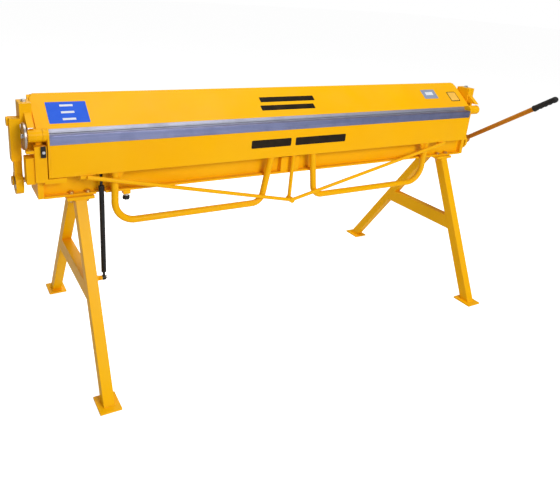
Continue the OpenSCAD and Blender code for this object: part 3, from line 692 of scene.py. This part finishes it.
def panel_labels():
    """Plain stand-ins for the panel's labels: a blue one, two dark lines, a grey plate, a pale plate."""
    panel_film("blue_label", -956, 0.43, 141, 97, BLUE_FILM, corner=2)
    for k, share in enumerate((0.62, 0.43, 0.24)):
        panel_film("blue_label_bar_%d" % k, -956, share, 46, 9, WHITE_FILM, 1)
    panel_film("dark_line_upper", -24, 0.575, 276, 27, BLACK_FILM, corner=3)
    panel_film("dark_line_lower", -38, 0.3, 270, 27, BLACK_FILM, corner=3)
    panel_film("grey_plate", 823, 0.55, 92, 58, GREY_FILM, corner=3)
    panel_film("grey_plate_field", 823, 0.57, 50, 20, WHITE_FILM, 1, corner=2)
    panel_film("pale_plate_rim", 978, 0.42, 62, 62, BLACK_FILM, corner=6)
    panel_film("pale_plate", 978, 0.42, 54, 54, PALE_YELLOW_FILM, 1, corner=4)


STRIPE_MIDDLE_Z = 0.82
STRIPE_HEIGHT = 34 * MM
STRIPE_CORNER = 5 * MM


def leaf_marking():
    """One plain dark stripe in two lengths across the middle of the leaf's front."""
    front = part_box("leaf_sheet")[0].y
    for name, x0, x1 in (("leaf_stripe_long", -40, 226), ("leaf_stripe_short", -254, -62)):
        middle = Vector(((x0 + x1) / 2 * MM, front, STRIPE_MIDDLE_Z))
        outline = rounded_outline((x1 - x0) * MM, STRIPE_HEIGHT, STRIPE_CORNER)
        thin_film(name, outline, middle, ACROSS, UP, "leaf", BLACK_FILM)


# ---------------------------------------------------------------- repeated pieces

class Maker:
    """A Geometry Nodes tree with named inputs that makes a repeated piece on a mesh of points or lines."""

    def __init__(self, name, inputs):
        self.tree = bpy.data.node_groups.new(name, "GeometryNodeTree")
        face = self.tree.interface
        face.new_socket("Geometry", in_out="INPUT", socket_type="NodeSocketGeometry")
        self.keys = {}
        for label, kind in inputs:
            self.keys[label] = face.new_socket(label, in_out="INPUT", socket_type=kind).identifier
        face.new_socket("Geometry", in_out="OUTPUT", socket_type="NodeSocketGeometry")
        self.given = self.tree.nodes.new("NodeGroupInput").outputs
        self.out = self.tree.nodes.new("NodeGroupOutput")

    def add(self, kind, inputs=None, **settings):
        """A node of this tree."""
        return add_node(self.tree, kind, inputs, **settings)

    def close(self, instances):
        """Ends the tree in Realize Instances and Set Material."""
        real = self.add("GeometryNodeRealizeInstances", {"Geometry": instances})
        finished = self.add("GeometryNodeSetMaterial", {
            "Geometry": real.outputs["Geometry"], "Material": self.given["Material"]})
        self.tree.links.new(finished.outputs["Geometry"], self.out.inputs["Geometry"])

    def run(self, name, points, edges, body, slot, values, smooth_angle=35):
        """Runs the tree on a guide mesh and keeps the result as a finished piece."""
        guide = bpy.data.meshes.new(name + "_guide")
        guide.from_pydata([tuple(q) for q in points], edges, [])
        holder = bpy.data.objects.new(name + "_guide", guide)
        bpy.context.scene.collection.objects.link(holder)
        modifier = holder.modifiers.new("maker", "NODES")
        modifier.node_group = self.tree
        for label, value in values.items():
            modifier[self.keys[label]] = value
        made = bpy.data.meshes.new_from_object(holder.evaluated_get(bpy.context.evaluated_depsgraph_get()))
        bpy.data.objects.remove(holder)
        made.name = name
        return finish_mesh(made, name, body, None, smooth_angle)


def moved(maker, mesh, z):
    """A primitive's mesh, moved up."""
    shift = maker.add("ShaderNodeCombineXYZ", {"Z": z}).outputs[0]
    return maker.add("GeometryNodeTransform", {"Geometry": mesh, "Translation": shift}).outputs["Geometry"]


WASHER_THICK = 1.6 * MM
HEAD_CHAMFER = 0.9 * MM


def hex_bolt_maker():
    """Hexagon bolt heads with a chamfered top and a round washer, standing up from each point."""
    maker = Maker("hex_bolts", [("Head Radius", "NodeSocketFloat"), ("Head Height", "NodeSocketFloat"),
                                ("Washer Radius", "NodeSocketFloat"), ("Material", "NodeSocketMaterial")])
    given, tree = maker.given, maker.tree
    washer = maker.add("GeometryNodeMeshCylinder", {
        "Vertices": 28, "Radius": given["Washer Radius"], "Depth": WASHER_THICK}).outputs["Mesh"]
    head = maker.add("GeometryNodeMeshCylinder", {
        "Vertices": 6, "Radius": given["Head Radius"], "Depth": given["Head Height"]}).outputs["Mesh"]
    half = math_node(tree, "MULTIPLY", given["Head Height"], 0.5)
    top = maker.add("GeometryNodeMeshCone", {
        "Vertices": 24, "Radius Bottom": math_node(tree, "MULTIPLY", given["Head Radius"], 0.88),
        "Radius Top": math_node(tree, "MULTIPLY", given["Head Radius"], 0.74),
        "Depth": HEAD_CHAMFER}).outputs["Mesh"]
    join = maker.add("GeometryNodeJoinGeometry")
    for piece in (moved(maker, washer, WASHER_THICK / 2),
                  moved(maker, head, math_node(tree, "ADD", half, WASHER_THICK)),
                  moved(maker, top, math_node(tree, "ADD", given["Head Height"], WASHER_THICK))):
        tree.links.new(piece, join.inputs[0])
    maker.close(maker.add("GeometryNodeInstanceOnPoints", {
        "Points": given["Geometry"], "Instance": join.outputs[0]}).outputs[0])
    return maker


def weld_maker():
    """A fillet weld: overlapping flat ripples along lines, each a little different."""
    maker = Maker("weld_bead", [("Pitch", "NodeSocketFloat"), ("Width", "NodeSocketFloat"),
                                ("Seed", "NodeSocketInt"), ("Material", "NodeSocketMaterial")])
    given = maker.given
    curve = maker.add("GeometryNodeMeshToCurve", {"Mesh": given["Geometry"]}).outputs[0]
    even = maker.add("GeometryNodeResampleCurve", {"Curve": curve, "Length": given["Pitch"]},
                     mode="LENGTH")
    along = maker.add("GeometryNodeInputTangent").outputs[0]
    turn = maker.add("FunctionNodeAlignRotationToVector", {"Vector": along}, axis="Z").outputs[0]
    ripple = maker.add("GeometryNodeMeshUVSphere", {
        "Segments": 10, "Rings": 6, "Radius": given["Width"]}).outputs["Mesh"]
    size = maker.add("FunctionNodeRandomValue", {
        "Min": (0.85, 0.85, 0.5), "Max": (1.1, 1.1, 0.7), "Seed": given["Seed"]},
        data_type="FLOAT_VECTOR").outputs["Value"]
    maker.close(maker.add("GeometryNodeInstanceOnPoints", {
        "Points": even.outputs[0], "Instance": ripple, "Rotation": turn, "Scale": size}).outputs[0])
    return maker


def tick_maker():
    """Short engraved marks round a disc that faces along X."""
    maker = Maker("disc_ticks", [("Length", "NodeSocketFloat"), ("Width", "NodeSocketFloat"),
                                 ("Centre", "NodeSocketVector"), ("Material", "NodeSocketMaterial")])
    given = maker.given
    place = maker.add("GeometryNodeInputPosition").outputs[0]
    out = maker.add("ShaderNodeVectorMath", {0: place, 1: given["Centre"]}, operation="SUBTRACT").outputs[0]
    turn = maker.add("FunctionNodeAlignRotationToVector", {"Vector": out}, axis="Z").outputs[0]
    size = maker.add("ShaderNodeCombineXYZ", {"X": given["Width"], "Y": given["Width"],
                                              "Z": given["Length"]}).outputs[0]
    mark = maker.add("GeometryNodeMeshCube", {"Size": size}).outputs["Mesh"]
    maker.close(maker.add("GeometryNodeInstanceOnPoints", {
        "Points": given["Geometry"], "Instance": mark, "Rotation": turn}).outputs[0])
    return maker


def clusters(node, reach):
    """The boxes of a node's solids, told apart by their distance from one another in the XY plane."""
    found = []
    for q in (v.co.copy() for v in frame["nodes"][node].data.vertices):
        for group in found:
            if (Vector(group[0][:2]) - Vector(q[:2])).length < reach:
                group.append(q)
                break
        else:
            found.append([q])
    return [(Vector(map(min, zip(*g))), Vector(map(max, zip(*g)))) for g in found]


def end_outline(node, high):
    """The points, in order, round a leg's flat upper or lower end."""
    points = [v.co for v in frame["nodes"][node].data.vertices]
    level = (max if high else min)(q.z for q in points)
    flat = {(round(q.x, 4), round(q.y, 4)) for q in points if abs(q.z - level) < 0.3 * MM}
    cx = sum(x for x, _ in flat) / len(flat)
    cy = sum(y for _, y in flat) / len(flat)
    ring = sorted(flat, key=lambda q: math.atan2(q[1] - cy, q[0] - cx))
    return [Vector((x, y, level)) for x, y in ring]


def lines_mesh(loops):
    """Joins outlines and lines into one guide: points and edges. Each is (points, closed)."""
    points, edges = [], []
    for loop, closed in loops:
        first = len(points)
        points += loop
        edges += [(first + k, first + k + 1) for k in range(len(loop) - 1)]
        if closed:
            edges.append((first + len(loop) - 1, first))
    return points, edges


def stand_fasteners(maker):
    """Bolt heads with washers on the base's flanges, over the stands."""
    head_drop = 8.5 * MM
    heads = []
    for low, high in clusters("stand_bolts", 25 * MM):
        heads.append(Vector(((low.x + high.x) / 2, (low.y + high.y) / 2, high.z - head_drop)))
    values = {"Head Radius": 9.2 * MM, "Head Height": 6.4 * MM, "Washer Radius": 10.5 * MM,
              "Material": YELLOW_ZINC}
    maker.run("stand_bolt_heads", heads, [], "frame", "zinc", values)


def column_screws(maker):
    """A setting screw with its washer on top of each clamp column."""
    rod_low, rod_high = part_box("guide_rods")
    points = []
    for low, high in clusters("clamp_columns", 400 * MM):
        points.append(Vector(((low.x + high.x) / 2, (rod_low.y + rod_high.y) / 2, high.z)))
    values = {"Head Radius": 8 * MM, "Head Height": 6 * MM, "Washer Radius": 9.5 * MM, "Material": ZINC}
    maker.run("column_top_screws", points, [], "clamp_beam", "zinc", values)


def frame_welds(maker):
    """Fillet welds round the legs, on the base ends and round the centre box."""
    loops = []
    for side_name in ("left", "right"):
        for leg in ("front_leg", "rear_leg"):
            node = "stand_%s_%s" % (side_name, leg)
            loops += [(end_outline(node, True), True), (end_outline(node, False), True)]
    low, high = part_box("base_top_plate")
    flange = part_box("base_front_plate")[0].z
    stop_short = 10 * MM
    for x in (low.x, high.x):
        for y in (low.y, high.y):
            ends = [Vector((x, y, flange + stop_short)), Vector((x, y, high.z - stop_short))]
            loops.append((ends, False))
    low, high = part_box("base_centre_box")
    for x in (low.x, high.x):
        loops.append(([Vector((x, high.y, low.z)), Vector((x, high.y, high.z))], False))
    points, edges = lines_mesh(loops)
    maker.run("frame_welds", points, edges, "frame", "paint",
              {"Pitch": 2.6 * MM, "Width": 3.0 * MM, "Seed": 3, "Material": PAINT}, 60)


def leaf_welds(maker):
    """Fillet welds where the bows and the truss meet the leaf."""
    loops = []
    for node in ("bow_left", "bow_right"):
        low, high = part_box(node)
        radius = (high.y - low.y) / 2
        y, z = (low.y + high.y) / 2, high.z - 0.5 * MM
        for x in (low.x + radius, high.x - radius):
            ring = [Vector((x + radius * math.cos(a), y + radius * math.sin(a), z))
                    for a in circle_angles(24)]
            loops.append((ring, True))
    for low, high in clusters("truss_fittings", 60 * MM):
        loops.append(([Vector((low.x, low.y, high.z)), Vector((high.x, low.y, high.z))], False))
    points, edges = lines_mesh(loops)
    maker.run("leaf_welds", points, edges, "leaf", "paint",
              {"Pitch": 2.4 * MM, "Width": 2.6 * MM, "Seed": 7, "Material": PAINT}, 60)


TICK_CIRCLE = 0.88


def disc_ticks(maker):
    """Marks every fifteen degrees round the outer face of the angle disc."""
    low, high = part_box("angle_disc")
    centre = Vector((low.x, (low.y + high.y) / 2, (low.z + high.z) / 2))
    ring = TICK_CIRCLE * (high.z - low.z) / 2
    points = [centre + ring * Vector((0, math.cos(a), math.sin(a))) for a in circle_angles(24)]
    maker.run("angle_disc_ticks", points, [], "leaf", "zinc",
              {"Length": 5 * MM, "Width": 0.7 * MM, "Centre": centre, "Material": BLACK_FILM})


def shaft_end_cap():
    """A domed, painted cap on the left end of the cross shaft."""
    left_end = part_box("cross_shaft")[0].x
    y, z = LEVER_JOINT["pos_m"][1], LEVER_JOINT["pos_m"][2]
    profile = [(-0.3 * MM, 12 * MM), (0.2 * MM, 15 * MM), (1.2 * MM, 16.4 * MM), (8 * MM, 16.4 * MM)]
    finish_piece(turned_form(profile, (left_end, y, z), ACROSS), "shaft_end_cap", "clamp_lever",
                 PAINT, 30)


def strut_seal():
    """The pressed seal ring on the upper end of the gas strut's tube."""
    tube_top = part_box("strut_tube")[1].z
    axis = Vector(joint_named("strut_slide")["axis"]).normalized()
    start = Vector(joint_named("strut_pivot")["pos_m"])
    place = start + axis * ((start.z - tube_top) / -axis.z)
    profile = [(0.0, 7 * MM), (0.6 * MM, 9.6 * MM), (3.4 * MM, 11.3 * MM), (4.2 * MM, 11.3 * MM),
               (4.6 * MM, 9 * MM)]
    finish_piece(turned_form(profile, place, axis), "strut_seal", "strut_tube", BLACK_ROD,
                 35)


# ---------------------------------------------------------------- the machine

EDGE_WIDTH = {"stand": 1.2, "base": 0.9, "clamp": 0.9, "leaf": 0.8}
OWN_SHAPE = {"bow_left", "bow_right", "lever_grip", "adjust_knob"}

make_camera()
make_studio()
for node_name in frame["nodes"]:
    if node_name not in OWN_SHAPE:
        break_edges(node_name, EDGE_WIDTH.get(node_name.split("_")[0], 0.5))
bow_handle("bow_left", False)
bow_handle("bow_right", True)
moulded_grip()
star_knob()
panel_labels()
leaf_marking()
shaft_end_cap()
strut_seal()
HEX_BOLTS = hex_bolt_maker()
stand_fasteners(HEX_BOLTS)
column_screws(HEX_BOLTS)
WELDS = weld_maker()
frame_welds(WELDS)
leaf_welds(WELDS)
disc_ticks(tick_maker())
